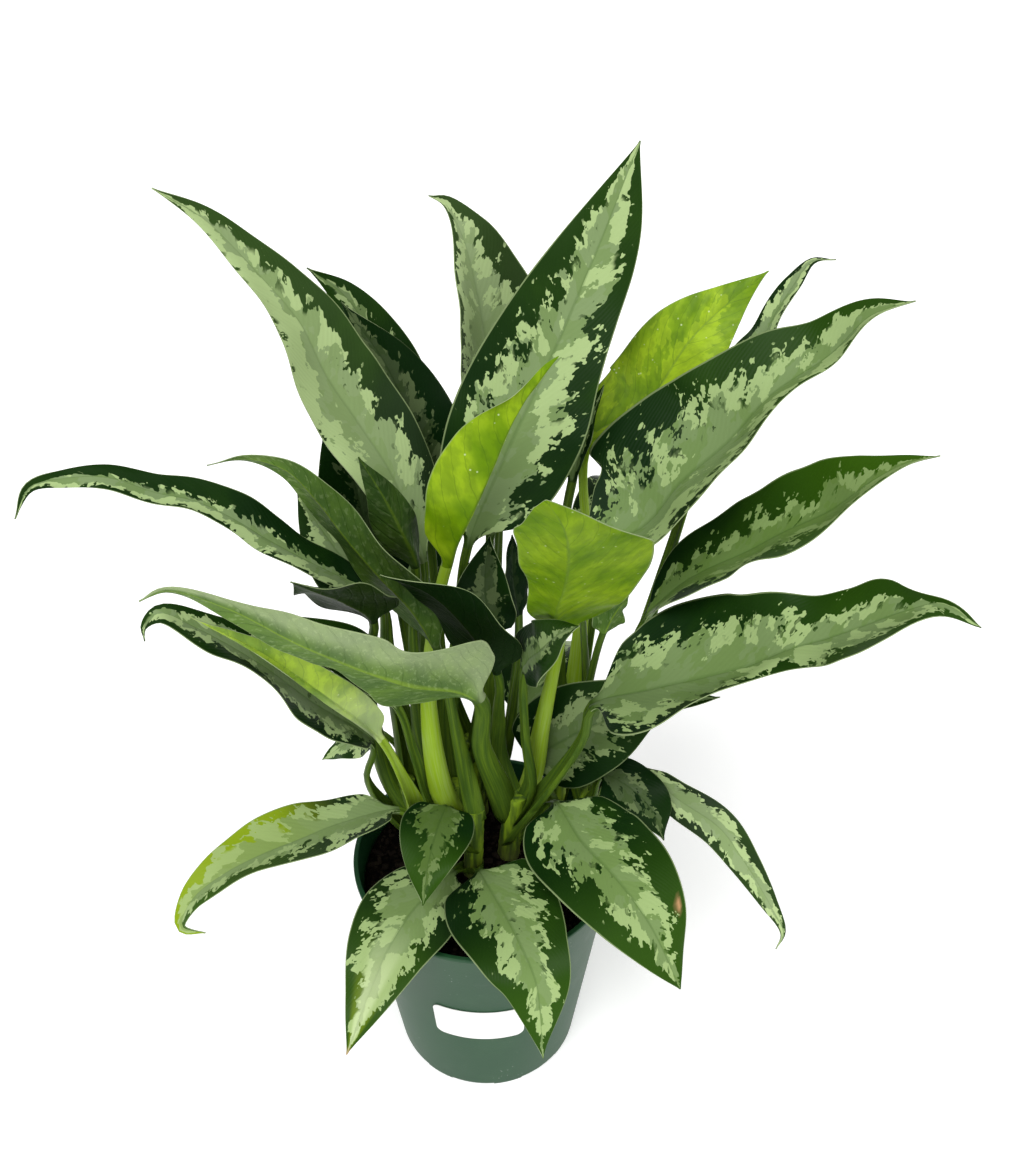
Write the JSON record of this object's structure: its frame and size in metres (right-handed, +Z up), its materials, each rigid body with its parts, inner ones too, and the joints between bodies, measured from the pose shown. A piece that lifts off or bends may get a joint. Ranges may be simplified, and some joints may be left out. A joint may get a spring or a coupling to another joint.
{
  "type": "potted chinese evergreen",
  "caption": "Leafy aglaonema house plant in a round tapered nursery pot, with long pointed silver-marked leaves on arching stalks and a blank label.",
  "frame": {"origin": "middle of the pot's flat base, which rests on the floor", "axes": "+Z up along the pot's axis; -Y towards the camera, the side with the label; +X to the right of the label"},
  "size_m": [0.4376, 0.335, 0.5605],
  "materials": {
    "pot": "satin dark green moulded plastic",
    "label": "blank white paper",
    "soil": "dark crumbly potting mix",
    "cane": "smooth green stem",
    "leaf": "satin leaf, dark green edge and silver-green middle",
    "young_leaf": "satin lime-green young leaf"
  },
  "bodies": {
    "root": {"pot": "pot", "label": "label", "cane_front": "cane", "cane_left": "cane", "cane_far_left": "cane", "cane_middle": "cane", "cane_right": "cane", "cane_far_right": "cane", "cane_back": "cane", "cane_back_left": "cane", "soil": "soil", "leaf_tall": "leaf", "leaf_tall_left": "leaf", "leaf_upper_left": "leaf", "leaf_back_left_high": "leaf", "leaf_back_left_low": "leaf", "leaf_shaded_left": "leaf", "leaf_young_upright": "young_leaf", "leaf_folded": "leaf", "leaf_young_right": "young_leaf", "leaf_slender_back": "leaf", "leaf_upper_right": "leaf", "leaf_mid_right": "leaf", "leaf_wavy_right": "leaf", "leaf_under_right": "leaf", "leaf_young_center": "young_leaf", "leaf_small_center": "leaf", "leaf_cupped_left": "leaf", "leaf_behind_cupped": "leaf", "leaf_twisting_left": "leaf", "leaf_long_under": "leaf", "leaf_silver_left": "leaf", "leaf_round_under": "leaf", "leaf_low_left": "leaf", "leaf_young_low_left": "young_leaf", "leaf_small_pale": "leaf", "leaf_bottom_left": "leaf", "leaf_small_front": "leaf", "leaf_front_left": "leaf", "leaf_front": "leaf", "leaf_front_right": "leaf", "leaf_behind_front_right": "leaf", "leaf_slender_right": "leaf", "leaf_dark_center": "leaf", "leaf_rolled": "leaf", "leaf_narrow_dark": "leaf", "leaf_small_right": "leaf", "leaf_behind_tall": "leaf", "leaf_rear_left": "leaf", "leaf_rear_right": "leaf", "leaf_rear_low": "leaf", "leaf_rear_high": "leaf"}
  },
  "joints": []
}
